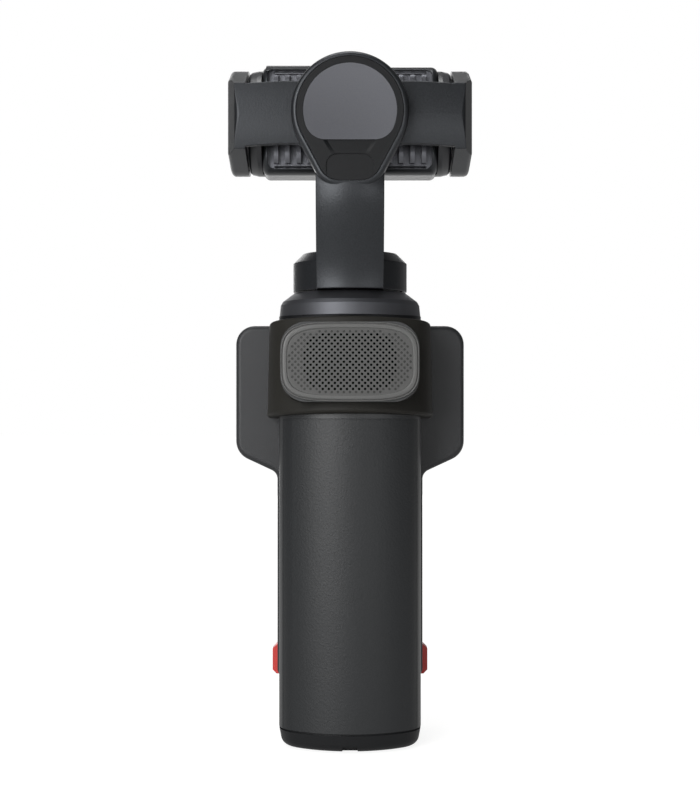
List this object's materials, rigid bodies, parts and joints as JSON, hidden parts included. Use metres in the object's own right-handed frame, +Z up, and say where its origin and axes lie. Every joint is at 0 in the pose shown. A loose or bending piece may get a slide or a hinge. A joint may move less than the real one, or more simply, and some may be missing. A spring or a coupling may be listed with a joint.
{
  "type": "gimbal camera",
  "caption": "pocket camera on a three-axis powered gimbal over a slim grip, with a lift-off touchscreen remote in front and a clip-on microphone on a silicone band at the back",
  "frame": {"origin": "mouth of the tripod thread, middle of the base, on the pan axis", "axes": "+Z up along the grip, +Y out of the lenses and the screen, +X to the right seen from the back"},
  "size_m": [0.0574, 0.0395, 0.1613],
  "materials": {
    "satin_black": "satin moulded plastic",
    "grained_skin": "grained soft-touch skin",
    "cap_plastic": "matt moulded plastic",
    "dark_alloy": "dark anodised, fine sand grain",
    "grey_alloy": "grey anodised, satin",
    "ring_metal": "dark anodised, turned",
    "sink_alloy": "dark anodised casting",
    "steel": "bright ground steel",
    "core_steel": "lacquered core and windings",
    "magnet": "nickel plated",
    "brass": "bright",
    "contact_block": "moulded block with plated pads",
    "board": "solder mask",
    "cell": "foil pouch",
    "lens_ring": "dark anodised, turned",
    "clear_glass": "coated glass",
    "screen_glass": "tinted cover glass",
    "screen": "display panel",
    "face_plastic": "satin to gloss moulding",
    "rubber_cap": "soft rubber",
    "button_grey": "satin keycap",
    "button_red": "red moulded plastic",
    "band_silicone": "smoke-coloured silicone",
    "mic_plastic": "fine matt",
    "bezel_plastic": "satin grey rim",
    "grille_metal": "painted perforated sheet"
  },
  "bodies": {
    "handle": {"grip_shell": "satin_black", "grip_skin": "grained_skin", "bottom_cap": "cap_plastic", "tripod_insert": "brass", "usb_socket": "steel", "cap_screws": "steel", "dock_plate": "satin_black", "dock_contacts": "contact_block", "main_board": "board", "battery_cell": "cell", "top_deck": "dark_alloy", "pan_ring": "ring_metal", "pan_bearing": "steel", "pan_stator": "core_steel", "clip_band": "band_silicone", "mic_case": "mic_plastic", "mic_bezel": "bezel_plastic", "mic_grille": "grille_metal"},
    "pan_arm": {"arm_frame": "dark_alloy", "roll_cover": "dark_alloy", "roll_dial": "grey_alloy", "roll_stator": "core_steel", "roll_bearing": "steel", "pan_rotor": "magnet", "pan_shaft": "steel"},
    "yoke": {"yoke_frame": "dark_alloy", "roll_rotor": "magnet", "roll_shaft": "steel", "tilt_motor_lid": "grey_alloy", "tilt_bearing_lid": "grey_alloy", "tilt_stator": "core_steel", "tilt_bearings": "steel"},
    "camera_head": {"head_rear_shell": "dark_alloy", "heat_sink": "sink_alloy", "head_front_shell": "satin_black", "main_lens_ring": "lens_ring", "main_lens_glass": "clear_glass", "main_lens_barrel": "cap_plastic", "tele_lens_ring": "lens_ring", "tele_lens_glass": "clear_glass", "tele_lens_barrel": "cap_plastic", "image_sensors": "board", "tilt_rotor": "magnet", "tilt_shafts": "steel"},
    "remote": {"remote_back_shell": "satin_black", "remote_front_shell": "face_plastic", "screen_glass": "screen_glass", "screen_panel": "screen", "remote_cell": "cell", "remote_board": "board", "release_spring_left": "steel", "release_spring_right": "steel"},
    "stick_gimbal": {"stick_cradle": "steel"},
    "stick": {"stick_cap": "rubber_cap"},
    "record_key": {"record_button": "button_red"},
    "mode_key": {"mode_button": "button_grey"},
    "power_key": {"power_button": "button_grey"},
    "release_left": {"release_button_left": "button_red"},
    "release_right": {"release_button_right": "button_red"}
  },
  "joints": [
    {"name": "pan_turn", "type": "hinge", "parent": "handle", "child": "pan_arm", "pos_m": [0, 0, 0.1072], "axis": [0, 0, 1], "range_deg": [-235, 58]},
    {"name": "roll_turn", "type": "hinge", "parent": "pan_arm", "child": "yoke", "pos_m": [0, -0.0195, 0.1469], "axis": [0, 1, 0], "range_deg": [-45, 45]},
    {"name": "tilt_turn", "type": "hinge", "parent": "yoke", "child": "camera_head", "pos_m": [0, 0, 0.1475], "axis": [1, 0, 0], "range_deg": [-110, 70]},
    {"name": "remote_lift", "type": "slide", "parent": "handle", "child": "remote", "axis": [0, 1, 0], "range_m": [0, 0.018]},
    {"name": "stick_up_down", "type": "hinge", "parent": "remote", "child": "stick_gimbal", "pos_m": [0, 0.0136, 0.0535], "axis": [1, 0, 0], "range_deg": [-10, 10], "stiffness_Nm_per_rad": 0.01},
    {"name": "stick_left_right", "type": "hinge", "parent": "stick_gimbal", "child": "stick", "pos_m": [0, 0.0136, 0.0535], "axis": [0, 0, 1], "range_deg": [-10, 10], "stiffness_Nm_per_rad": 0.01},
    {"name": "record_press", "type": "slide", "parent": "remote", "child": "record_key", "axis": [0, -1, 0], "range_m": [0, 0.0005], "stiffness_N_per_m": 400, "springref_m": -0.001},
    {"name": "mode_press", "type": "slide", "parent": "remote", "child": "mode_key", "axis": [0, -1, 0], "range_m": [0, 0.0005], "stiffness_N_per_m": 400, "springref_m": -0.001},
    {"name": "power_press", "type": "slide", "parent": "remote", "child": "power_key", "axis": [0, -1, 0], "range_m": [0, 0.0005], "stiffness_N_per_m": 400, "springref_m": -0.001},
    {"name": "release_left_press", "type": "slide", "parent": "remote", "child": "release_left", "axis": [1, 0, 0], "range_m": [0, 0.001], "stiffness_N_per_m": 500, "springref_m": -0.002, "deforming": ["release_spring_left"]},
    {"name": "release_right_press", "type": "slide", "parent": "remote", "child": "release_right", "axis": [-1, 0, 0], "range_m": [0, 0.001], "stiffness_N_per_m": 500, "springref_m": -0.002, "deforming": ["release_spring_right"]}
  ]
}
